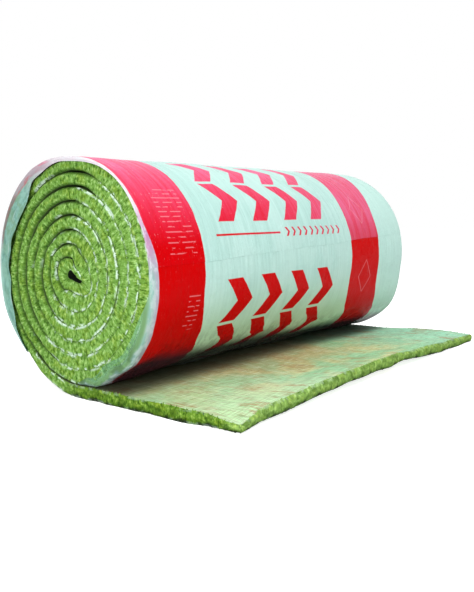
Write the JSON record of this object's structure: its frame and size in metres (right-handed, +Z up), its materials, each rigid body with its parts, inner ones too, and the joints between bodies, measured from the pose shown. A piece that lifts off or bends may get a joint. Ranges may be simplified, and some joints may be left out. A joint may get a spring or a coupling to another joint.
{
  "type": "insulation roll",
  "caption": "Mineral wool insulation mat wound into a roll that lies on its side, with its last stretch laid out flat as a flap, in a printed film wrap slit along the roll.",
  "frame": {"origin": "on the floor, at the middle of the footprint", "axes": "+X along the roll's axis, -Y towards the flap, +Z up"},
  "size_m": [1.205, 0.766, 0.5575],
  "materials": {
    "mineral_wool": "loose fibre, yellow-green on the cut edges and brown-beige on the skin",
    "packing_film": "pale translucent polyethylene film, creased, printed with two red bands"
  },
  "bodies": {
    "root": {"wool_mat": "mineral_wool", "film_wrap": "packing_film"}
  },
  "joints": []
}
